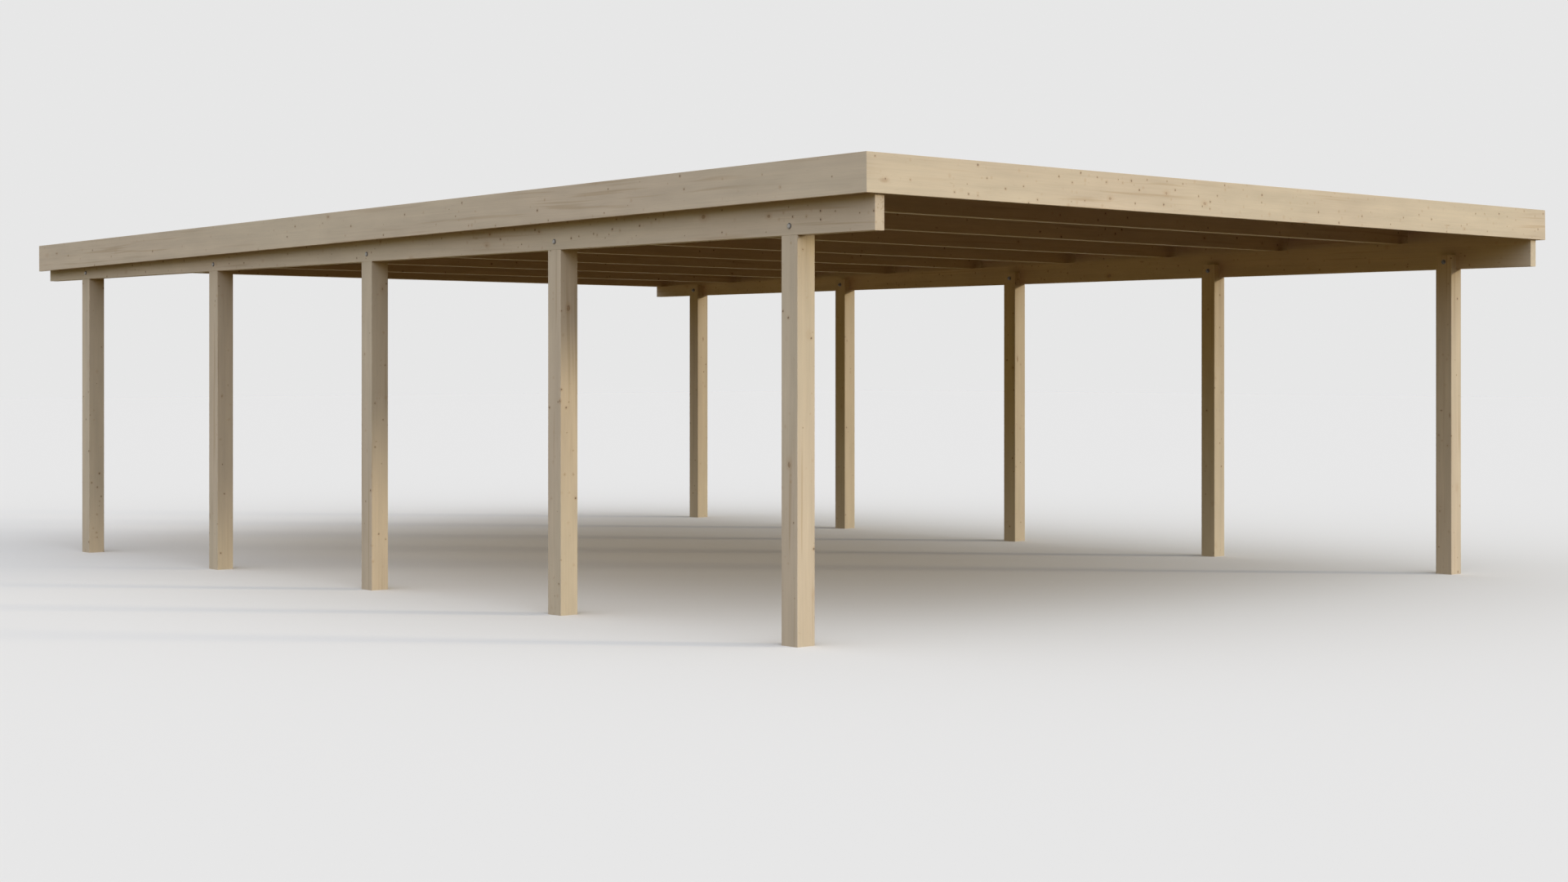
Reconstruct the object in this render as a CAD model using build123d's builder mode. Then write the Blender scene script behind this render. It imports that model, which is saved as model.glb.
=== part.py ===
from build123d import *
import os
from math import atan2, cos, sin, tan

# Open timber carport with a flat roof that falls gently to the rear.
# The front faces -Y, the width runs along X, and the posts stand on Z = 0.

# Roof outline over the outer faces of the fascia boards
carport_width = 6020
carport_length = 8880

# Square posts in two rows
post_size = 115
posts_per_side = 5
post_setback = 560
clear_height = 1990

# Tapered beams: level below, falling to the rear on top
beam_thickness = 60
beam_front_height = 191
beam_rear_height = 92.5
beam_end_gap = 2
beam_inset = 77

# Each post head is notched: a shoulder under the beam, a tongue behind it
# that stops this far below the lower end of the beam's top
tongue_gap = 2.5

# Rafters lie across the beams
rafter_count = 10
rafter_width = 60
rafter_height = 120

# Fascia boards close the front and the sides, a lower board the rear
fascia_thickness = 21
fascia_height = 190
fascia_drop = 20
rear_inset = 4

# Boarded deck and the sheet that covers it
deck_thickness = 19
membrane_thickness = 1.5
upstand_height = 26
rear_lap = 45

# Planed timber has its long edges eased
post_easing = 1.5
beam_easing = 1.5
fascia_easing = 1

# Beams fill the length between the front and rear boards
beam_length = carport_length - 2 * (fascia_thickness + beam_end_gap)
beam_face = carport_width / 2 - beam_inset
beam_middle = (beam_front_height + beam_rear_height) / 2

# Posts stand flush with the outer faces of the beams
first_post = post_setback + post_size / 2 - carport_length / 2
post_pitch = -2 * first_post / (posts_per_side - 1)
post_middle = beam_face - post_size / 2
tongue_height = beam_rear_height - tongue_gap
tongue_thickness = post_size - beam_thickness

# The roof lies on a plane along the sloping tops of the beams.
# It is moved forward a little so that the tilted boards stay centred.
fall = atan2(beam_front_height - beam_rear_height, beam_length)
roof_shift = (fascia_height / 2 - fascia_drop) * sin(fall)
roof = Plane(
    origin=(0, -roof_shift, clear_height + beam_middle + roof_shift * tan(fall)),
    x_dir=(1, 0, 0),
    z_dir=(0, sin(fall), cos(fall)),
)

roof_up = Axis(roof.origin, roof.z_dir)
rearward = Axis(roof.origin, roof.y_dir)

# Places on the roof plane, from the front board to the rear one
front_outside = -carport_length / 2
front_inside = front_outside + fascia_thickness
rear_outside = carport_length / 2 - rear_inset
rear_inside = rear_outside - fascia_thickness
clear_width = carport_width - 2 * fascia_thickness
deck_top = rafter_height + deck_thickness
rafter_pitch = (rear_inside - front_inside - rafter_width) / (rafter_count - 1)

behind = (Align.CENTER, Align.MIN, Align.MIN)
sides = (("left", -1), ("right", 1))

os.makedirs("parts", exist_ok=True)


def save(piece, name):
    piece.label = name
    export_step(piece, f"parts/{name}.step")


# Posts: the profile across the width has the notch for the beam,
# and the arrises of the shaft are eased from the foot to the shoulder.
for side, sign in sides:
    with BuildPart() as post:
        with BuildSketch(Plane.XZ):
            with BuildLine():
                outer = sign * (post_middle + post_size / 2)
                inner = sign * (post_middle - post_size / 2)
                lap = inner + sign * tongue_thickness
                head = clear_height + tongue_height
                Polyline(
                    (inner, 0),
                    (outer, 0),
                    (outer, clear_height),
                    (lap, clear_height),
                    (lap, head),
                    (inner, head),
                    close=True,
                )
            make_face()
        extrude(amount=post_size / 2, both=True)
        shaft = post.edges().filter_by(Axis.Z).filter_by(lambda edge: edge.length > tongue_height * 2)
        chamfer(shaft, post_easing)
    for number in range(posts_per_side):
        place = Pos(0, first_post + number * post_pitch, 0)
        save(place * post.part, f"post_{side}_{number + 1}")

# Beams: one tapered plank a side, set on the shoulders of the posts
for side, sign in sides:
    with BuildPart() as beam:
        with BuildSketch(Plane.YZ.offset(sign * (beam_face - beam_thickness / 2))):
            with BuildLine():
                front, rear = -beam_length / 2, beam_length / 2
                Polyline(
                    (front, clear_height),
                    (rear, clear_height),
                    (rear, clear_height + beam_rear_height),
                    (front, clear_height + beam_front_height),
                    close=True,
                )
            make_face()
        extrude(amount=beam_thickness / 2, both=True)
        lower_face = beam.faces().sort_by(Axis.Z)[0]
        chamfer(lower_face.edges().filter_by(Axis.Y), beam_easing)
    save(beam.part, f"beam_{side}")

# Rafters: the first is behind the front board and the last before the rear one
for number in range(rafter_count):
    with BuildPart(roof) as rafter:
        with Locations((0, front_inside + number * rafter_pitch, 0)):
            Box(clear_width, rafter_width, rafter_height, align=behind)
        lower_face = rafter.faces().sort_by(roof_up)[0]
        chamfer(lower_face.edges().filter_by(Axis.X), beam_easing)
    save(rafter.part, f"rafter_{number + 1:02d}")

# Front board: mitred at both ends, where the side boards meet it
with BuildPart() as fascia_front:
    with BuildSketch(roof.offset(-fascia_drop)):
        with BuildLine():
            Polyline(
                (-carport_width / 2, front_outside),
                (carport_width / 2, front_outside),
                (clear_width / 2, front_inside),
                (-clear_width / 2, front_inside),
                close=True,
            )
        make_face()
    extrude(amount=fascia_height)
    outside = fascia_front.faces().sort_by(rearward)[0]
    chamfer(outside.edges(), fascia_easing)
save(fascia_front.part, "fascia_front")

# Side boards: from the mitre at the front to the rear end of the roof
for side, sign in sides:
    with BuildPart() as fascia_side:
        with BuildSketch(roof.offset(-fascia_drop)):
            with BuildLine():
                Polyline(
                    (sign * carport_width / 2, front_outside),
                    (sign * carport_width / 2, carport_length / 2),
                    (sign * clear_width / 2, carport_length / 2),
                    (sign * clear_width / 2, front_inside),
                    close=True,
                )
            make_face()
        extrude(amount=fascia_height)
        outside = fascia_side.faces().sort_by(Axis.X)[0 if sign < 0 else -1]
        chamfer(outside.edges(), fascia_easing)
    save(fascia_side.part, f"fascia_{side}")

# Rear board: no higher than the deck, so that rain runs off over it
with BuildPart(roof) as fascia_rear:
    with Locations((0, rear_inside, 0)):
        Box(clear_width, fascia_thickness, deck_top, align=behind)
    lower_edges = fascia_rear.faces().sort_by(roof_up)[0].edges().filter_by(Axis.X)
    chamfer(lower_edges.sort_by(rearward)[-1], fascia_easing)
save(fascia_rear.part, "fascia_rear")

# Deck: the boards that span from rafter to rafter, as one sheet
with BuildPart(roof) as roof_deck:
    with Locations((0, front_inside, rafter_height)):
        Box(clear_width, rear_inside - front_inside, deck_thickness, align=behind)
save(roof_deck.part, "roof_deck")

# Membrane: a shallow tray turned up behind the fascia, open to the rear,
# with a lip that laps down over the rear board
with BuildPart(roof) as roof_membrane:
    with Locations((0, front_inside, deck_top)):
        Box(clear_width, rear_outside - front_inside, upstand_height, align=behind)
    top_face = roof_membrane.faces().sort_by(roof_up)[-1]
    rear_face = roof_membrane.faces().sort_by(rearward)[-1]
    offset(amount=-membrane_thickness, openings=[top_face, rear_face])
    with Locations((0, rear_outside, deck_top + membrane_thickness - rear_lap)):
        Box(clear_width, membrane_thickness, rear_lap, align=behind)
save(roof_membrane.part, "roof_membrane")
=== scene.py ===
import math
import random

import bmesh
import bpy
from mathutils import Matrix, Vector


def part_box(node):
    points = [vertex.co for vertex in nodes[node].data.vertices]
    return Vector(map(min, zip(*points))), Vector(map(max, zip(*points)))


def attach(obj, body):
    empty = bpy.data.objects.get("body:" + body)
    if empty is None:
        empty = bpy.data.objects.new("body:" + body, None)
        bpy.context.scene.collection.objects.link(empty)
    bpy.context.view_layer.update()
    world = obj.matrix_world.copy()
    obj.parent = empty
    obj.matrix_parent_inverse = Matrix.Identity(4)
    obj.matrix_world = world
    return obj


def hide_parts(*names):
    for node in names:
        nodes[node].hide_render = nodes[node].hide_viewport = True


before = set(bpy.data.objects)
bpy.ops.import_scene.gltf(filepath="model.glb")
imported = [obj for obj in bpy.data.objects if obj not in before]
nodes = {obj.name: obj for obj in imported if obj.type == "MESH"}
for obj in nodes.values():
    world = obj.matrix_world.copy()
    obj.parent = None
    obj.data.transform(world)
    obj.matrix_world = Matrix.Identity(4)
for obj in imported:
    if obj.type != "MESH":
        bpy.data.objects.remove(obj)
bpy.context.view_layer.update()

print("frame loaded:", len(nodes), "nodes")


def middle(name):
    low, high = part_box(name)
    return (low + high) / 2


# roof plane, found from the rafters and the deck on them; its origin is the middle of the deck
roof = {
    "rafterWidth": 0.060,
    "deckThickness": 0.019,
}
deckLow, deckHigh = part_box("roof_deck")
rafterRun = middle("rafter_10") - middle("rafter_01")
roofWidth = deckHigh.x - deckLow.x  # between the side boards
roofLength = rafterRun.length + roof["rafterWidth"]  # between the front and rear boards
roofTilt = Matrix.Rotation(math.atan2(rafterRun.z, rafterRun.y), 4, "X")
roofMatrix = Matrix.Translation(middle("roof_deck")) @ roofTilt


# small helpers for node trees
def addNode(tree, kind, inputs=None, **settings):
    node = tree.nodes.new(kind)
    for key, value in settings.items():
        setattr(node, key, value)
    for key, value in (inputs or {}).items():
        if isinstance(value, bpy.types.NodeSocket):
            tree.links.new(value, node.inputs[key])
        else:
            node.inputs[key].default_value = value
    return node


def maths(tree, operation, a, b=0.0, clamp=False):
    return addNode(tree, "ShaderNodeMath", {0: a, 1: b}, operation=operation, use_clamp=clamp).outputs[0]


def times(tree, a, b, clamp=False):
    return maths(tree, "MULTIPLY", a, b, clamp)


def plus(tree, a, b, clamp=False):
    return maths(tree, "ADD", a, b, clamp)


def minus(tree, a, b):
    return maths(tree, "SUBTRACT", a, b)


def vectorMaths(tree, operation, a, b=(0, 0, 0)):
    node = addNode(tree, "ShaderNodeVectorMath", {0: a, 1: b}, operation=operation)
    return node.outputs["Value" if operation in ("DOT_PRODUCT", "LENGTH") else "Vector"]


def mapRange(tree, value, low, high, outLow=0.0, outHigh=1.0, smooth=False):
    kind = "SMOOTHSTEP" if smooth else "LINEAR"
    inputs = {"Value": value, "From Min": low, "From Max": high, "To Min": outLow, "To Max": outHigh}
    node = addNode(tree, "ShaderNodeMapRange", inputs, interpolation_type=kind, clamp=True)
    return node.outputs["Result"]


def mixColour(tree, factor, a, b, blend="MIX"):
    inputs = {0: factor, 6: a, 7: b}  # the sockets for colours
    node = addNode(tree, "ShaderNodeMix", inputs, data_type="RGBA", blend_type=blend, clamp_factor=True)
    return node.outputs[2]


def noise(tree, vector, scale, detail=2.0, rough=0.5):
    inputs = {"Vector": vector, "Scale": scale, "Detail": detail, "Roughness": rough}
    return addNode(tree, "ShaderNodeTexNoise", inputs, noise_dimensions="3D")


def scaled(tree, vector, factors):
    return vectorMaths(tree, "MULTIPLY", vector, factors)


def ramp(tree, factor, stops):
    node = addNode(tree, "ShaderNodeValToRGB", {"Fac": factor})
    band = node.color_ramp
    while len(band.elements) < len(stops):
        band.elements.new(0.5)
    for element, (place, value) in zip(band.elements, stops):
        element.position = place
        element.color = (value, value, value, 1)
    return node.outputs["Color"]


def newGroup(name, inputs, outputs):
    group = bpy.data.node_groups.new(name, "ShaderNodeTree")
    for label, kind in inputs:
        group.interface.new_socket(label, in_out="INPUT", socket_type=kind)
    for label, kind in outputs:
        group.interface.new_socket(label, in_out="OUTPUT", socket_type=kind)
    return group, group.nodes.new("NodeGroupInput"), group.nodes.new("NodeGroupOutput")


# planed spruce: growth rings round a pith along X, streaks, three kinds of knot, and resin
spruce = {
    "early": (0.604, 0.504, 0.361, 1),  # pale wood between the lines of the rings
    "late": (0.440, 0.322, 0.195, 1),  # the lines
    "rosy": (0.590, 0.482, 0.348, 1),
    "amber": (0.455, 0.300, 0.170, 1),  # stain round a knot
    "knot": (0.245, 0.140, 0.075, 1),
    "heart": (0.350, 0.215, 0.115, 1),
    "rim": (0.095, 0.055, 0.034, 1),
    "pin": (0.060, 0.040, 0.028, 1),
    "smear": (0.325, 0.205, 0.118, 1),
    "resin": (0.330, 0.195, 0.105, 1),
    # growth rings
    "ring": 0.0042,  # width of one
    "ringStops": ((0.0, 0.10), (0.35, 0.0), (0.72, 0.35), (0.92, 1.0), (1.0, 0.10)),
    "ringFade": (0.3, 0.7, 0.4, 1.4),  # rings are fainter in some wide bands
    "yearSpread": 3.0,  # rings, by which good and poor years move the lines
    "slowBend": (0.0, 0.05, 0.05),  # how far the pith wanders
    "quickBend": (0.0, 0.007, 0.007),
    "bulge": 1.7,  # how far a knot pushes the rings aside
    # knots and resin: spacing, largest radius, share of places left empty, shape, fade in radii, cover
    "marks": {
        "branch": {"cell": 0.105, "radius": 0.0115, "empty": 0.32, "squash": (0.66, 1.0, 1.0),
                   "edge": (1.05, 0.70), "halo": (0.8, 3.4), "cover": 0.80},
        "pin": {"cell": 0.033, "radius": 0.0064, "edge": (1.08, 0.75), "halo": (0.9, 3.0), "cover": 0.92},
        "spike": {"cell": 0.15, "radius": 0.0115, "empty": 0.22, "squash": (0.34, 1.0, 1.0),
                  "turn": (0.0, 0.7, 0.65), "edge": (1.3, 0.2), "cover": 0.75},
        "resin": {"cell": 0.085, "radius": 0.0050, "empty": 0.25, "squash": (0.11, 1.0, 1.0),
                  "edge": (1.2, 0.3), "cover": 0.70},
    },
    "fewLarge": 1.5,  # a higher power leaves fewer large knots
    "leastRadius": 0.0001,
    "faintest": 0.5,  # boldness of the palest knot
    "raggedScale": 80.0,  # noise that makes outlines ragged
    "looseReach": (0.012, 0.008, 0.008),
    "firmReach": (0.008, 0.004, 0.004),
    "branchCrowd": (0.40, 0.60, 0.45, 1.1),  # branch knots are larger where knots crowd
    "pinCrowd": (0.36, 0.58, 1.15, 0.7),  # and pin knots fewer
    "pinShare": 0.75,  # of the places have a pin knot where Pins is 1
    "pinSizes": (0.0025, 0.0064),
    "rimAt": 0.9,  # in knot radii, as is its width
    "rimWidth": 0.22,
    "rimScale": 55.0,
    "rimBreaks": (0.40, 0.62),
    "rimCover": 0.75,
    "stainCover": 0.46,
    "heartRings": 3.5,
    # noises: cycles a metre along and across the grain, detail and roughness
    "waves": {
        "crowd": (2.3, 0.6, 1.0, 0.5),
        "slow": (0.55, 1.6, 1.5, 0.5),
        "quick": (2.6, 9.0, 2.0, 0.5),
        "years": (0.2, 5.0, 1.0, 0.5),
        "wide": (0.5, 17.0, 2.0, 0.5),
        "streak": (1.5, 85.0, 3.0, 0.6),
        "fibre": (9.0, 520.0, 2.0, 0.6),
        "drift": (0.7, 2.2, 1.5, 0.5),
        "cloud": (3.0, 13.0, 2.0, 0.5),
        "duct": (14.0, 360.0, 1.0, 0.5),
        "vein": (1.1, 46.0, 1.0, 0.5),
    },
    "shades": {"wide": 0.26, "streak": 0.14, "fibre": 0.12, "cloud": 0.22},
    "ducts": (0.68, 0.76),
    "ductShade": 0.10,
    "veins": (0.58, 0.70),
    "veinDrift": (0.42, 0.60),
    "veinCover": 0.50,
    "rosyDrift": (0.35, 0.68),
    "endShade": 0.05,
    "endFacing": (0.8, 0.95),
    # surface
    "rough": 0.68,
    "fibreRough": 0.24,
    "knotSmooth": 0.16,
    "ringHeight": 0.35,
    "fibreHeight": 0.65,
    "knotSink": 0.7,
    "bump": 0.35,
    "bumpDepth": 0.0006,
    "specular": 0.15,
    "seedStep": (7.31, 3.17, 5.53),  # from one timber's stretch of pattern to the next
    "firstSeed": 1.0,
    "seedGap": 0.37,
}


def wave(group, vector, name):
    lengthwise, crosswise, detail, rough = spruce["waves"][name]
    return noise(group, scaled(group, vector, (lengthwise, crosswise, crosswise)), 1.0, detail, rough)


def makeKnots(group, place, mark, amount, empty):
    # round bodies scattered in the timber: distance in knot radii, own size, own boldness, and a mask
    inputs = {"Vector": place, "Scale": 1 / mark["cell"]}
    seeds = addNode(group, "ShaderNodeTexVoronoi", inputs, voronoi_dimensions="3D")
    dice = addNode(group, "ShaderNodeSeparateColor", {0: seeds.outputs["Color"]})
    share = maths(group, "POWER", mapRange(group, dice.outputs[0], empty, 1.0), spruce["fewLarge"])
    size = times(group, times(group, share, mark["radius"]), amount)
    size = maths(group, "MAXIMUM", size, spruce["leastRadius"])
    far = maths(group, "DIVIDE", times(group, seeds.outputs["Distance"], mark["cell"]), size)
    bold = mapRange(group, dice.outputs[1], 0.0, 1.0, spruce["faintest"], 1.0)
    mask = times(group, mapRange(group, far, *mark["edge"], smooth=True), bold)
    return far, size, bold, mask


def shifted(group, vector, colour, reach):
    # a noise colour moves the pattern either way
    offset = vectorMaths(group, "SUBTRACT", colour, (0.5, 0.5, 0.5))
    return vectorMaths(group, "ADD", vector, scaled(group, offset, reach))


def makeSpruceGroup():
    number = "NodeSocketFloat"
    group, given, out = newGroup(
        "spruceTimber",
        [("Grain", "NodeSocketVector"), ("Seed", number), ("End", number), ("Contrast", number),
         ("Knots", number), ("Pins", number), ("Tone", number)],
        [("Colour", "NodeSocketColor"), ("Roughness", number), ("Height", number)],
    )
    grain, knots = given.outputs["Grain"], given.outputs["Knots"]
    branch, pin, spike, resin = [spruce["marks"][name] for name in ("branch", "pin", "spike", "resin")]
    place = vectorMaths(group, "ADD", grain, scaled(group, given.outputs["Seed"], spruce["seedStep"]))
    ragged = noise(group, place, spruce["raggedScale"]).outputs["Color"]
    loose = shifted(group, place, ragged, spruce["looseReach"])
    firm = shifted(group, place, ragged, spruce["firmReach"])

    # knots crowd together at some heights of the trunk
    crowd = wave(group, place, "crowd").outputs[0]
    branchAmount = times(group, knots, mapRange(group, crowd, *spruce["branchCrowd"]))
    pinAmount = times(group, given.outputs["Pins"], mapRange(group, crowd, *spruce["pinCrowd"]))
    pinEmpty = minus(group, 1.0, times(group, pinAmount, spruce["pinShare"]))

    # branch knots, longer along the grain, have a broken dark rim
    squashed = scaled(group, loose, branch["squash"])
    branchFar, branchSize, branchBold, branchMask = makeKnots(
        group, squashed, branch, branchAmount, branch["empty"])
    broken = mapRange(group, noise(group, place, spruce["rimScale"], 1.0).outputs[0], *spruce["rimBreaks"])
    rimFar = maths(group, "ABSOLUTE", minus(group, branchFar, spruce["rimAt"]))
    branchRim = mapRange(group, rimFar, 0.0, spruce["rimWidth"], 1.0, 0.0, smooth=True)
    branchRim = times(group, times(group, branchRim, branchBold), broken)
    branchHalo = mapRange(group, branchFar, *branch["halo"], 1.0, 0.0, smooth=True)

    # pin knots are small dark dots
    pinFar, pinSize, pinBold, pinMask = makeKnots(group, firm, pin, 1.0, pinEmpty)
    pinHalo = mapRange(group, pinFar, *pin["halo"], 1.0, 0.0, smooth=True)

    # spike knots are branches cut at a slant, seen as soft smears
    inputs = {"Vector": loose, "Rotation": spike["turn"], "Scale": spike["squash"]}
    slanted = addNode(group, "ShaderNodeMapping", inputs).outputs[0]
    spikeMask = makeKnots(group, slanted, spike, knots, spike["empty"])[-1]

    # resin streaks lie along the grain
    drawnOut = scaled(group, loose, resin["squash"])
    resinMask = makeKnots(group, drawnOut, resin, knots, resin["empty"])[-1]

    # the pith wanders along the trunk, so faces show long arches, and branch knots push the rings aside
    bent = shifted(group, grain, wave(group, place, "slow").outputs["Color"], spruce["slowBend"])
    bent = shifted(group, bent, wave(group, place, "quick").outputs["Color"], spruce["quickBend"])
    radius = vectorMaths(group, "LENGTH", scaled(group, bent, (0.0, 1.0, 1.0)))
    radius = plus(group, radius, times(group, times(group, branchHalo, branchSize), spruce["bulge"]))
    years = times(group, wave(group, place, "years").outputs[0], spruce["yearSpread"])
    rings = plus(group, maths(group, "DIVIDE", radius, spruce["ring"]), years)
    late = ramp(group, maths(group, "FRACT", rings), spruce["ringStops"])

    # streaks, fibres, resin ducts and veins along the grain
    layers = {name: wave(group, place, name).outputs[0] for name in spruce["shades"]}
    drift = wave(group, place, "drift").outputs[0]
    duct = mapRange(group, wave(group, place, "duct").outputs[0], *spruce["ducts"], smooth=True)
    vein = mapRange(group, wave(group, bent, "vein").outputs[0], *spruce["veins"], smooth=True)
    vein = times(group, vein, mapRange(group, drift, *spruce["veinDrift"], smooth=True))

    # bare wood
    rosy = mapRange(group, drift, *spruce["rosyDrift"], smooth=True)
    early = mixColour(group, rosy, spruce["early"], spruce["rosy"])
    depth = times(group, given.outputs["Contrast"], mapRange(group, layers["wide"], *spruce["ringFade"]))
    lines = times(group, late, depth, clamp=True)
    lines = plus(group, lines, times(group, vein, spruce["veinCover"]), clamp=True)
    colour = mixColour(group, lines, early, spruce["late"])
    shade = 1.0
    for name, amount in spruce["shades"].items():
        shade = plus(group, shade, times(group, minus(group, layers[name], 0.5), amount))
    shade = minus(group, shade, times(group, duct, spruce["ductShade"]))
    shade = minus(group, shade, times(group, given.outputs["End"], spruce["endShade"]))
    shade = times(group, shade, given.outputs["Tone"])
    colour = mixColour(group, 1.0, colour, shade, "MULTIPLY")

    # stains and knots over it
    stain = maths(group, "MAXIMUM", times(group, branchHalo, branchBold), times(group, pinHalo, pinBold))
    heartRing = maths(group, "FRACT", times(group, branchFar, spruce["heartRings"]))
    heart = mixColour(group, heartRing, spruce["knot"], spruce["heart"])
    pinColour = mixColour(group, mapRange(group, pinSize, *spruce["pinSizes"]), spruce["pin"], spruce["rim"])
    for mask, cover, tint in (
        (stain, spruce["stainCover"], spruce["amber"]),
        (resinMask, resin["cover"], spruce["resin"]),
        (spikeMask, spike["cover"], spruce["smear"]),
        (branchMask, branch["cover"], heart),
        (branchRim, spruce["rimCover"], spruce["rim"]),
        (pinMask, pin["cover"], pinColour),
    ):
        colour = mixColour(group, times(group, mask, cover), colour, tint)

    hard = maths(group, "MAXIMUM", branchMask, pinMask)
    rough = times(group, minus(group, layers["fibre"], 0.5), spruce["fibreRough"])
    rough = plus(group, rough, spruce["rough"])
    rough = minus(group, rough, times(group, hard, spruce["knotSmooth"]))
    height = times(group, late, spruce["ringHeight"])
    height = plus(group, height, times(group, layers["fibre"], spruce["fibreHeight"]))
    sunk = maths(group, "MAXIMUM", branchRim, pinMask)
    height = minus(group, height, times(group, sunk, spruce["knotSink"]))
    for label, value in (("Colour", colour), ("Roughness", rough), ("Height", height)):
        group.links.new(value, out.inputs[label])
    return group


spruceGroup = makeSpruceGroup()
turns = {"X": (0, 0, 0), "Y": (0, 0, math.pi / 2), "Z": (0, -math.pi / 2, 0)}  # grain frame by direction
along = {"X": (1, 0, 0), "Y": (0, 1, 0), "Z": (0, 0, 1)}


def principled(name):
    material = bpy.data.materials.new(name)
    material.use_nodes = True
    tree = material.node_tree
    return material, tree, next(n for n in tree.nodes if n.type == "BSDF_PRINCIPLED")


def objectCoords(tree):
    return addNode(tree, "ShaderNodeTexCoord").outputs["Object"]


def endMask(tree, axis):
    facing = addNode(tree, "ShaderNodeNewGeometry").outputs["Normal"]
    cosine = maths(tree, "ABSOLUTE", vectorMaths(tree, "DOT_PRODUCT", facing, along[axis]))
    return mapRange(tree, cosine, *spruce["endFacing"], smooth=True)


def addWood(tree, grain, axis, seed, kind):
    inputs = {"Grain": grain, "End": endMask(tree, axis), "Seed": seed}
    for label in ("Contrast", "Knots", "Pins", "Tone"):
        inputs[label] = kind[label.lower()]
    return addNode(tree, "ShaderNodeGroup", inputs, node_tree=spruceGroup)


def finishWood(tree, shader, wood, colour, bump):
    inputs = {"Height": wood.outputs["Height"], "Strength": bump, "Distance": spruce["bumpDepth"]}
    lift = addNode(tree, "ShaderNodeBump", inputs)
    tree.links.new(colour, shader.inputs["Base Color"])
    tree.links.new(wood.outputs["Roughness"], shader.inputs["Roughness"])
    tree.links.new(lift.outputs[0], shader.inputs["Normal"])
    shader.inputs["Specular IOR Level"].default_value = spruce["specular"]


def timberMaterial(name, axis, pith, seed, kind):
    material, tree, shader = principled(name)
    inputs = {"Vector": objectCoords(tree), "Location": pith, "Rotation": turns[axis]}
    turned = addNode(tree, "ShaderNodeMapping", inputs, vector_type="TEXTURE")
    wood = addWood(tree, turned.outputs[0], axis, seed, kind)
    finishWood(tree, shader, wood, wood.outputs["Colour"], spruce["bump"])
    return material


def dress(name, material):
    nodes[name].data.materials.clear()
    nodes[name].data.materials.append(material)


# every timber has its own pith, this far from its middle, and its own stretch of grain
timbers = {
    "post": {"axis": "Z", "pith": (0.03, 0.075), "contrast": 0.095, "knots": 1.0, "pins": 0.5, "tone": 1.0},
    "beam": {"axis": "Y", "pith": (0.05, 0.12), "contrast": 0.105, "knots": 1.05, "pins": 0.8, "tone": 1.0},
    "rafter": {"axis": "X", "pith": (0.04, 0.10), "contrast": 0.11, "knots": 0.75, "pins": 0.3, "tone": 1.0},
    "fascia": {"axis": "Y", "pith": (0.06, 0.14), "contrast": 0.085, "knots": 0.85, "pins": 0.3, "tone": 1.0},
    "cross": {"axis": "X", "pith": (0.06, 0.14), "contrast": 0.085, "knots": 1.15, "pins": 0.9, "tone": 0.96},
}
crossBoards = ("fascia_front", "fascia_rear")
chance = random.Random(11)
for number, name in enumerate(sorted(n for n in nodes if n.split("_")[0] in timbers)):
    kind = timbers["cross" if name in crossBoards else name.split("_")[0]]
    axis = kind["axis"]
    reach = chance.uniform(*kind["pith"])
    angle = chance.uniform(0, 2 * math.pi)
    pith = middle(name)
    first, second = [i for i in range(3) if along[axis][i] == 0]
    pith[first] += reach * math.cos(angle)
    pith[second] += reach * math.sin(angle)
    seed = spruce["firstSeed"] + spruce["seedGap"] * number
    dress(name, timberMaterial(name + "_spruce", axis, pith, seed, kind))
print("timber dressed")


# making and placing new pieces
def addBoard(bm, size, centre):
    made = bmesh.ops.create_cube(bm, size=1.0)["verts"]
    bmesh.ops.scale(bm, vec=size, verts=made)
    bmesh.ops.translate(bm, vec=centre, verts=made)


def ease(bm, edges, width, segments):
    bmesh.ops.bevel(bm, geom=edges, offset=width, affect="EDGES", segments=segments, profile=0.5, material=-1)


def asObject(bm, name):
    mesh = bpy.data.meshes.new(name)
    bm.to_mesh(mesh)
    bm.free()
    return bpy.data.objects.new(name, mesh)


def fitPiece(piece, material):
    bpy.context.scene.collection.objects.link(piece)
    piece.data.materials.append(material)
    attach(piece, "root")
    return piece


# roof deck: tongued boards from front to rear, with a vee at each joint below
deck = {
    "boards": 50,
    "vee": 0.004,
    "gap": 0.0006,
    "seed": 31.0,
    "contrast": 0.24,
    "knots": 1.0,
    "pins": 0.6,
    "tone": 1.0,
    "tones": (0.86, 1.06),  # darkest and palest board
    "bump": 0.3,
    "pithAcross": 0.12,  # spread of the boards' piths
    "pithDepth": 0.04,
    "pithSpread": 0.08,
    "grainStep": 3.7,  # along the grain, from one board to the next
}
boardPitch = roofWidth / deck["boards"]


def makeDeck():
    bm = bmesh.new()
    size = (boardPitch - deck["gap"], roofLength, roof["deckThickness"])
    for number in range(deck["boards"]):
        addBoard(bm, size, ((number + 0.5) * boardPitch - roofWidth / 2, 0, 0))
    lower = [e for e in bm.edges if all(v.co.z < 0 for v in e.verts) and e.calc_length() > roofLength / 2]
    ease(bm, lower, deck["vee"], 1)
    bmesh.ops.transform(bm, matrix=roofMatrix, verts=bm.verts)
    return asObject(bm, "deck_boards")


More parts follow.
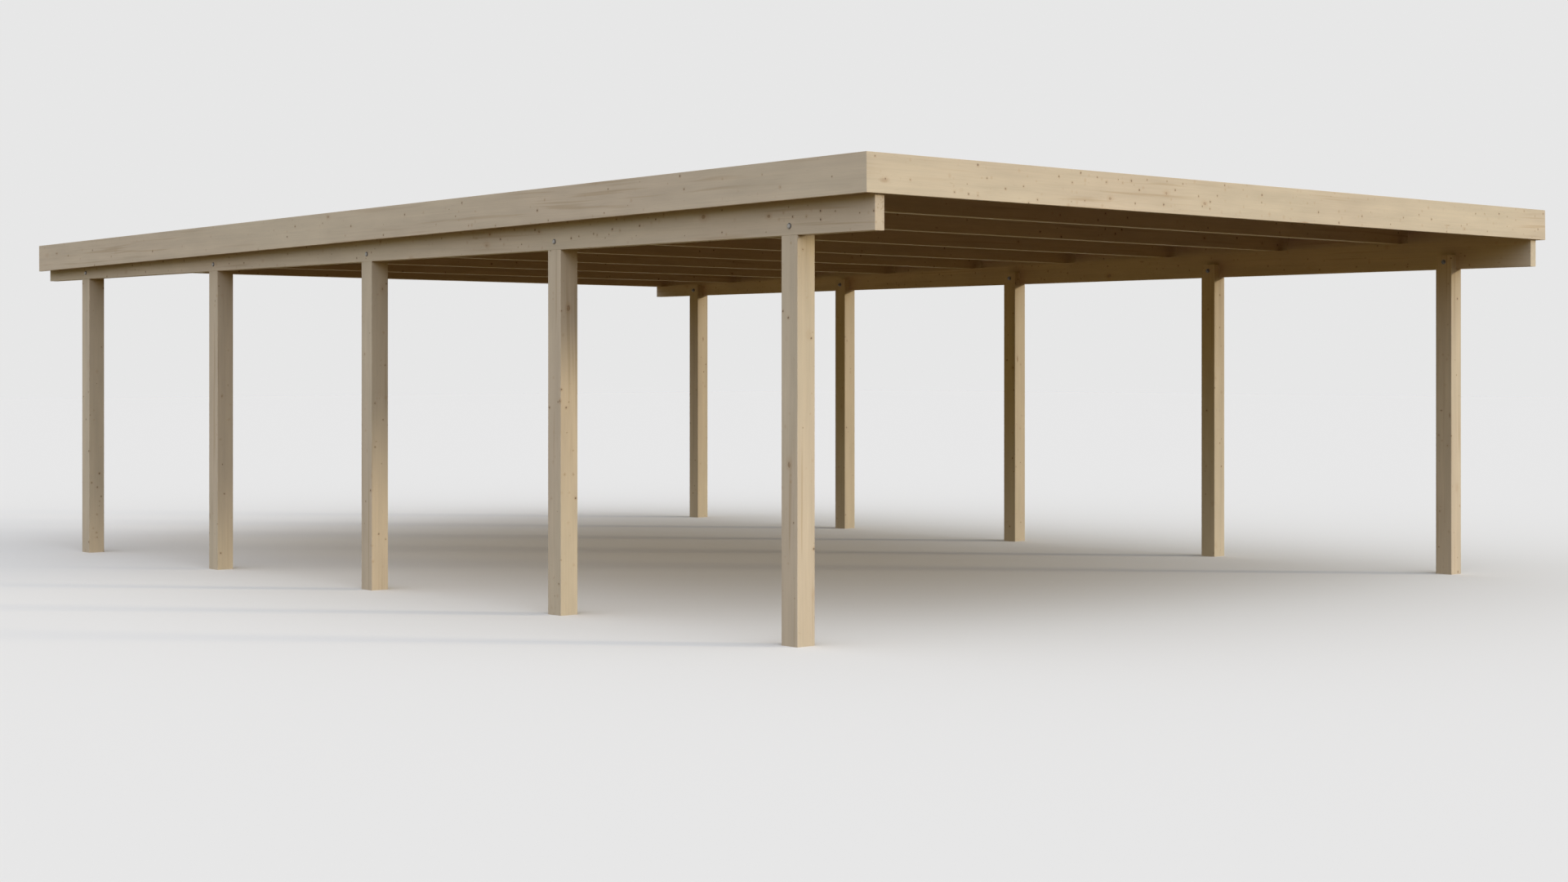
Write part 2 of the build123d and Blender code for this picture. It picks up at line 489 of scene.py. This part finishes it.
def boardGroup():
    group, given, out = newGroup(
        "boardSeries",
        [("Place", "NodeSocketVector"), ("Pitch", "NodeSocketFloat")],
        [("Grain", "NodeSocketVector"), ("Tone", "NodeSocketFloat")],
    )
    pitch = given.outputs["Pitch"]
    across, run, depth = addNode(group, "ShaderNodeSeparateXYZ", {0: given.outputs["Place"]}).outputs
    row = maths(group, "FLOOR", maths(group, "DIVIDE", across, pitch))
    dice = addNode(group, "ShaderNodeTexWhiteNoise", {"W": row}, noise_dimensions="1D")
    sideways, deeper, tone = addNode(group, "ShaderNodeSeparateColor", {0: dice.outputs["Color"]}).outputs
    inside = minus(group, across, times(group, plus(group, row, 0.5), pitch))
    across = plus(group, inside, times(group, minus(group, sideways, 0.5), deck["pithAcross"]))
    run = plus(group, run, times(group, row, deck["grainStep"]))
    pith = plus(group, deck["pithDepth"], times(group, deeper, deck["pithSpread"]))
    grain = addNode(group, "ShaderNodeCombineXYZ", {0: run, 1: across, 2: plus(group, depth, pith)})
    group.links.new(grain.outputs[0], out.inputs["Grain"])
    group.links.new(tone, out.inputs["Tone"])
    return group


def deckMaterial():
    material, tree, shader = principled("deck_spruce")
    corner = (-roofWidth / 2, 0, middle("roof_deck").z - roof["deckThickness"] / 2)
    inputs = {"Vector": objectCoords(tree), "Location": corner}
    moved = addNode(tree, "ShaderNodeMapping", inputs, vector_type="TEXTURE")
    inputs = {"Place": moved.outputs[0], "Pitch": boardPitch}
    series = addNode(tree, "ShaderNodeGroup", inputs, node_tree=boardGroup())
    wood = addWood(tree, series.outputs["Grain"], "Y", deck["seed"], deck)
    tone = mapRange(tree, series.outputs["Tone"], 0.0, 1.0, *deck["tones"])
    colour = mixColour(tree, 1.0, wood.outputs["Colour"], tone, "MULTIPLY")
    finishWood(tree, shader, wood, colour, deck["bump"])
    return material


deckBoards = fitPiece(makeDeck(), deckMaterial())
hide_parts("roof_deck")
print("deck boards laid:", deck["boards"])


# rubber roofing sheet: widths lapped from front to rear, dust, dried puddles and faint ripples
sheet = {
    "black": (0.036, 0.038, 0.041, 1),
    "dust": (0.130, 0.126, 0.116, 1),
    "dustCover": 0.42,
    "lapDust": 0.4,  # dust on the laps, as a share of the rest
    "roughness": (0.86, 0.94),  # clean and dusty
    "specular": 0.12,
    "widths": 4,
    "thickness": 0.0015,
    "lap": 0.05,
    "lapRise": 0.0014,
    "lapSink": 0.0005,  # a lap strip starts this far inside the sheet
    "lapEase": 0.0006,
    "frontGap": 0.002,
    # noises: scale, detail and roughness
    "patch": (0.9, 5.0, 0.6),
    "run": (1.0, 4.0, 0.6),
    "speck": (160.0, 2.0, 0.6),
    "runStretch": (9.0, 0.7, 9.0),
    "rippleStretch": (1.6, 1.1, 1.6),
    # where dust lies, and how much
    "patches": (0.4, 0.72),
    "runs": (0.5, 0.8),
    "runShare": 0.5,
    "speckShare": 0.4,
    "tideAt": 0.56,  # rim of a dried puddle
    "tideWidth": 0.012,
    "tideShare": 0.25,
    "ledgeWidth": 0.016,  # dust against the edges of a lap
    "ledgeShare": 0.45,
    "firstLap": (0.1, 0.05),  # before the first lap, the line of dust comes in
    "lastLap": (0.2, 0.4),  # and by the far edge it has gone
    "speckHeight": 0.012,
    "bump": 0.3,
    "bumpDepth": 0.02,
}
sheetPitch = roofWidth / sheet["widths"]


def sheetMaterial(name, dustShare):
    material, tree, shader = principled(name)
    coords = objectCoords(tree)
    patch = noise(tree, coords, *sheet["patch"]).outputs[0]
    run = noise(tree, scaled(tree, coords, sheet["runStretch"]), *sheet["run"]).outputs[0]
    speck = noise(tree, coords, *sheet["speck"]).outputs[0]

    # a line of dust along both edges of each lap
    across = plus(tree, addNode(tree, "ShaderNodeSeparateXYZ", {0: coords}).outputs[0], roofWidth / 2)
    comesIn = mapRange(tree, across, *[sheetPitch - before for before in sheet["firstLap"]])
    goesOut = mapRange(tree, across, *[roofWidth - before for before in sheet["lastLap"]])
    strip = times(tree, maths(tree, "FRACT", maths(tree, "DIVIDE", across, sheetPitch)), sheetPitch)
    outer = maths(tree, "ABSOLUTE", minus(tree, strip, sheet["lap"]))
    edge = maths(tree, "MINIMUM", outer, minus(tree, sheetPitch, strip))
    ledge = mapRange(tree, edge, 0.0, sheet["ledgeWidth"], 1.0, 0.0, smooth=True)
    ledge = times(tree, ledge, times(tree, comesIn, goesOut))

    # patches, runs towards the rear, specks and the rims of puddles
    dust = mapRange(tree, patch, *sheet["patches"])
    dust = plus(tree, dust, times(tree, mapRange(tree, run, *sheet["runs"]), sheet["runShare"]))
    dust = plus(tree, dust, times(tree, minus(tree, speck, 0.5), sheet["speckShare"]))
    tideFar = maths(tree, "ABSOLUTE", minus(tree, patch, sheet["tideAt"]))
    tide = mapRange(tree, tideFar, 0.0, sheet["tideWidth"], 1.0, 0.0, smooth=True)
    dust = times(tree, plus(tree, dust, times(tree, tide, sheet["tideShare"])), dustShare)
    dust = plus(tree, dust, times(tree, ledge, sheet["ledgeShare"]), clamp=True)
    colour = mixColour(tree, times(tree, dust, sheet["dustCover"]), sheet["black"], sheet["dust"])
    tree.links.new(colour, shader.inputs["Base Color"])
    tree.links.new(mapRange(tree, dust, 0.0, 1.0, *sheet["roughness"]), shader.inputs["Roughness"])

    ripple = noise(tree, scaled(tree, coords, sheet["rippleStretch"]), 1.0).outputs[0]
    height = plus(tree, ripple, times(tree, speck, sheet["speckHeight"]))
    inputs = {"Height": height, "Strength": sheet["bump"], "Distance": sheet["bumpDepth"]}
    tree.links.new(addNode(tree, "ShaderNodeBump", inputs).outputs[0], shader.inputs["Normal"])
    shader.inputs["Specular IOR Level"].default_value = sheet["specular"]
    return material


def makeLaps():
    bm = bmesh.new()
    thick = sheet["lapRise"] + sheet["lapSink"]
    size = (sheet["lap"], roofLength - sheet["frontGap"], thick)
    height = roof["deckThickness"] / 2 + sheet["thickness"] - sheet["lapSink"] + thick / 2
    for number in range(1, sheet["widths"]):
        x = number * sheetPitch - roofWidth / 2 + sheet["lap"] / 2
        addBoard(bm, size, (x, sheet["frontGap"] / 2, height))
    rims = [e for e in bm.edges if all(v.co.z > height for v in e.verts)]
    ease(bm, rims, sheet["lapEase"], 2)
    bmesh.ops.transform(bm, matrix=roofMatrix, verts=bm.verts)
    return asObject(bm, "roof_laps")


dress("roof_membrane", sheetMaterial("roof_rubber", 1.0))
fitPiece(makeLaps(), sheetMaterial("lap_rubber", sheet["lapDust"]))
print("roofing sheet dressed")


# coach bolts: domed head on the beam, washer and nut on the tongue
bolt = {
    "rise": 0.0455,  # above the underside of the beam
    "headRadius": 0.0144,
    "headRise": 0.0085,
    "headSteps": 8,
    "headSides": 32,
    "washer": {"radius": 0.015, "thickness": 0.0025, "sides": 32, "ease": 0.0005},
    "nut": {"radius": 0.019 / math.sqrt(3), "thickness": 0.0105, "sides": 6, "ease": 0.0012},  # 19 mm wide
    "shank": {"radius": 0.006, "thickness": 0.005, "sides": 20, "ease": 0.0008},  # end past the nut
    "hair": 1e-6,  # closer than this is the same place
    "flatArea": 2e-5,  # larger faces stay flat
    "dull": (0.320, 0.302, 0.272, 1),
    "bright": (0.430, 0.408, 0.370, 1),
    "spangleScale": 260.0,
    "spangleShare": 0.35,  # of the zinc's pattern, and the rest is cloud
    "cloud": (90.0, 4.0, 0.6),  # scale, detail and roughness
    "zincRange": (0.25, 0.75),
    "roughRange": (0.3, 0.7, 0.24, 0.40),
    "bloom": 0.50,  # how far white bloom dulls the heads outside
    "grimeAndShade": (0.035, 0.030, 0.025, 1),  # painted shade where the steel meets the wood, and the nut's tarnish
    "grimeAndShadeRange": (0.3, 0.6, 0.6, 1.0),
    "grimeAndShadeRough": 0.35,
    "grimeAndShadeDull": 0.9,
    "headRimShadeStart": 0.55,  # painted shade on the head starts this far out, towards its rim
    "washerContactShade": 0.8,  # painted contact shade at the wood
    "nutGrime": 0.6,
}
beamLow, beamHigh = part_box("beam_right")
beamFace = beamHigh.x
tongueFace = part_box("post_right_1")[0].x


def steelMaterial():
    material, tree, shader = principled("zinc_steel")
    coords = objectCoords(tree)
    inputs = {"Vector": coords, "Scale": bolt["spangleScale"]}
    spangle = addNode(tree, "ShaderNodeTexVoronoi", inputs, voronoi_dimensions="3D")
    tint = addNode(tree, "ShaderNodeSeparateColor", {0: spangle.outputs["Color"]}).outputs[0]
    cloud = noise(tree, coords, *bolt["cloud"]).outputs[0]
    patina = times(tree, tint, bolt["spangleShare"])
    patina = plus(tree, patina, times(tree, cloud, 1 - bolt["spangleShare"]))
    zinc = mixColour(tree, mapRange(tree, patina, *bolt["zincRange"]), bolt["dull"], bolt["bright"])
    # the attribute carries painted shade at the head's rim and the washer, and the nut's tarnish
    rim = addNode(tree, "ShaderNodeAttribute", attribute_name="grimeAndShade").outputs["Fac"]
    grimeAndShade = times(tree, rim, mapRange(tree, cloud, *bolt["grimeAndShadeRange"]), clamp=True)
    tree.links.new(mixColour(tree, grimeAndShade, zinc, bolt["grimeAndShade"]), shader.inputs["Base Color"])
    rough = mapRange(tree, cloud, *bolt["roughRange"])
    rough = plus(tree, rough, times(tree, grimeAndShade, bolt["grimeAndShadeRough"]))
    tree.links.new(rough, shader.inputs["Roughness"])
    bloom = addNode(tree, "ShaderNodeAttribute", attribute_name="bloom").outputs["Fac"]
    bloom = times(tree, bloom, bolt["bloom"])
    dullness = maths(tree, "MAXIMUM", times(tree, grimeAndShade, bolt["grimeAndShadeDull"]), bloom)
    tree.links.new(minus(tree, 1.0, dullness), shader.inputs["Metallic"])
    return material


def makeBolt(name, side, y):
    bm = bmesh.new()
    # head: an arc spun about the bolt's axis, which is X here
    arc = []
    for step in range(bolt["headSteps"] + 1):
        angle = 0.5 * math.pi * step / bolt["headSteps"]
        x, radius = bolt["headRise"] * math.sin(angle), bolt["headRadius"] * math.cos(angle)
        arc.append(bm.verts.new((x, radius, 0)))
    edges = [bm.edges.new(pair) for pair in zip(arc, arc[1:])]
    bmesh.ops.spin(bm, geom=arc + edges, cent=(0, 0, 0), axis=(1, 0, 0), dvec=(0, 0, 0),
                   angle=2 * math.pi, steps=bolt["headSides"], use_merge=True)
    bmesh.ops.remove_doubles(bm, verts=bm.verts, dist=bolt["hair"])
    bmesh.ops.translate(bm, vec=(beamFace, 0, 0), verts=bm.verts)
    # washer, nut and the end of the shank, stacked on the tongue
    depth = tongueFace
    toX = Matrix.Rotation(math.pi / 2, 4, "Y")
    for part in (bolt["washer"], bolt["nut"], bolt["shank"]):
        radius, thick = part["radius"], part["thickness"]
        seat = Matrix.Translation((depth - thick / 2, 0, 0)) @ toX
        made = bmesh.ops.create_cone(bm, cap_ends=True, segments=part["sides"], radius1=radius,
                                     radius2=radius, depth=thick, matrix=seat)["verts"]
        sides = {e for v in made for e in v.link_edges}
        rims = [e for e in sides if abs(e.verts[0].co.x - e.verts[1].co.x) < bolt["hair"]]
        ease(bm, rims, part["ease"], 2)
        depth -= thick
    # painted shade darkens the rim of the head and the washer at the wood, and the nut is tarnished
    grimeAndShade = bm.verts.layers.float.new("grimeAndShade")
    bloom = bm.verts.layers.float.new("bloom")
    underWasher = tongueFace - bolt["washer"]["thickness"] / 2
    for v in bm.verts:
        out = math.hypot(v.co.y, v.co.z) / bolt["headRadius"]
        if v.co.x > (beamFace + tongueFace) / 2:
            v[grimeAndShade] = max(0.0, (out - bolt["headRimShadeStart"]) / (1 - bolt["headRimShadeStart"]))
            v[bloom] = 1.0
        else:
            v[grimeAndShade] = bolt["washerContactShade"] if v.co.x > underWasher else bolt["nutGrime"]
    if side < 0:
        bmesh.ops.scale(bm, vec=(-1, 1, 1), verts=bm.verts)
    bmesh.ops.recalc_face_normals(bm, faces=bm.faces)
    bmesh.ops.translate(bm, vec=(0, y, beamLow.z + bolt["rise"]), verts=bm.verts)
    for face in bm.faces:
        face.smooth = len(face.verts) < 5 and face.calc_area() < bolt["flatArea"]
    return asObject(bm, name)


steel = steelMaterial()
for sideName, side in (("left", -1), ("right", 1)):
    for number in range(1, 6):
        y = middle(f"post_{sideName}_{number}").y
        fitPiece(makeBolt(f"bolt_{sideName}_{number}", side, y), steel)
print("bolts set: 10")


# stage: pale floor, soft light, camera at the photo's angle
stage = {
    "floorSize": 160.0,
    "floorColour": (0.764, 0.715, 0.636, 1),
    "backColour": (0.80, 0.80, 0.80, 1),
    "sides": {  # light from high and low in the sky and up from the ground, on each side
        "front": {"aim": (0, -1, 0), "high": (1.73, 1.92, 2.24, 1), "low": (0.96, 0.73, 0.2, 1),
                  "ground": (0.022, 0.004, 0.005, 1)},
        "left": {"aim": (-1, 0, 0), "high": (1.21, 1.29, 1.53, 1), "low": (0.12, 0.19, 0.04, 1),
                 "ground": (0.142, 0.058, 0.052, 1)},
        "right": {"aim": (1, 0, 0), "high": (0.35, 0.38, 0.45, 1), "low": (0.45, 0.42, 0.3, 1),
                  "ground": (0.012, 0.006, 0.012, 1)},
        "back": {"aim": (0, 1, 0), "high": (0.55, 0.6, 0.7, 1), "low": (0.19, 0.3, 0.09, 1),
                 "ground": (0.447, 0.44, 0.125, 1)},
    },
    "belowColour": (0.138, 0.094, 0.023, 1),  # light from straight below
    "belowRise": (-0.35, -0.85),  # sines of the heights between which one light turns into the next
    "horizonRise": (-0.04, 0.02),
    "highRise": (0.05, 0.30),
    "keyEnergy": 1.525,
    "keyColour": (1.0, 0.877, 0.635),
    "keyAngle": 7.0,
    "keyFrom": (0.87, -1.0, 0.31),
    "camera": (-10.4187, -12.1077, 1.3596),
    "heading": -42.46243,
    "sensor": 36.0,
    "lens": 52.969,
    "shift": (-0.012756, -0.048075),
    "farClip": 400.0,
}


def makeFloor():
    bm = bmesh.new()
    bmesh.ops.create_grid(bm, x_segments=1, y_segments=1, size=stage["floorSize"] / 2)
    floor = asObject(bm, "floor")
    bpy.context.scene.collection.objects.link(floor)
    material, tree, shader = principled("floor_pale")
    shader.inputs["Base Color"].default_value = stage["floorColour"]
    shader.inputs["Roughness"].default_value = 1.0
    shader.inputs["Specular IOR Level"].default_value = 0.0
    below = addNode(tree, "ShaderNodeNewGeometry").outputs["Backfacing"]
    clear = addNode(tree, "ShaderNodeBsdfTransparent")  # from below the floor doesn't hide the roof
    sight = addNode(tree, "ShaderNodeMixShader", {0: below, 1: shader.outputs[0], 2: clear.outputs[0]})
    output = next(n for n in tree.nodes if n.type == "OUTPUT_MATERIAL")
    tree.links.new(sight.outputs[0], output.inputs["Surface"])
    floor.data.materials.append(material)
    floor.visible_diffuse = False  # it takes the shadow and throws no light back
    floor.visible_shadow = False


def makeWorld():
    world = bpy.data.worlds.new("studio")
    bpy.context.scene.world = world
    world.use_nodes = True
    tree = world.node_tree
    tree.nodes.clear()
    aim = vectorMaths(tree, "NORMALIZE", addNode(tree, "ShaderNodeTexCoord").outputs["Generated"])
    level = vectorMaths(tree, "NORMALIZE", scaled(tree, aim, (1, 1, 0)))
    light = {"high": (0, 0, 0, 1), "low": (0, 0, 0, 1), "ground": (0, 0, 0, 1)}
    for side in stage["sides"].values():
        share = maths(tree, "MAXIMUM", vectorMaths(tree, "DOT_PRODUCT", level, side["aim"]), 0.0)
        share = times(tree, share, share)
        for name in light:
            light[name] = mixColour(tree, share, light[name], side[name], "ADD")
    rise = addNode(tree, "ShaderNodeSeparateXYZ", {0: aim}).outputs[2]
    below, horizon, high = [mapRange(tree, rise, *stage[name], smooth=True)
                            for name in ("belowRise", "horizonRise", "highRise")]
    ground = mixColour(tree, below, light["ground"], stage["belowColour"])
    sky = mixColour(tree, high, light["low"], light["high"])
    dome = addNode(tree, "ShaderNodeBackground", {"Color": mixColour(tree, horizon, ground, sky)})
    # the camera and reflections see the plain background
    back = addNode(tree, "ShaderNodeBackground", {"Color": stage["backColour"]})
    paths = addNode(tree, "ShaderNodeLightPath").outputs
    seen = maths(tree, "MAXIMUM", paths["Is Glossy Ray"], paths["Is Transmission Ray"])
    seen = maths(tree, "MAXIMUM", paths["Is Camera Ray"], seen)
    both = addNode(tree, "ShaderNodeMixShader", {0: seen, 1: dome.outputs[0], 2: back.outputs[0]})
    addNode(tree, "ShaderNodeOutputWorld", {"Surface": both.outputs[0]})


def makeLightAndCamera():
    lamp = bpy.data.lights.new("key", "SUN")
    lamp.energy = stage["keyEnergy"]
    lamp.color = stage["keyColour"]
    lamp.angle = math.radians(stage["keyAngle"])
    key = bpy.data.objects.new("key", lamp)
    key.rotation_euler = Vector(stage["keyFrom"]).to_track_quat("Z", "Y").to_euler()
    bpy.context.scene.collection.objects.link(key)
    lens = bpy.data.cameras.new("camera")
    lens.sensor_width = stage["sensor"]
    lens.lens = stage["lens"]
    lens.shift_x, lens.shift_y = stage["shift"]
    lens.clip_end = stage["farClip"]
    camera = bpy.data.objects.new("camera", lens)
    camera.location = stage["camera"]
    camera.rotation_euler = (math.pi / 2, 0, math.radians(stage["heading"]))
    bpy.context.scene.collection.objects.link(camera)
    bpy.context.scene.camera = camera


makeFloor()
makeWorld()
makeLightAndCamera()
bpy.context.scene.view_settings.view_transform = "Standard"
print("stage set")
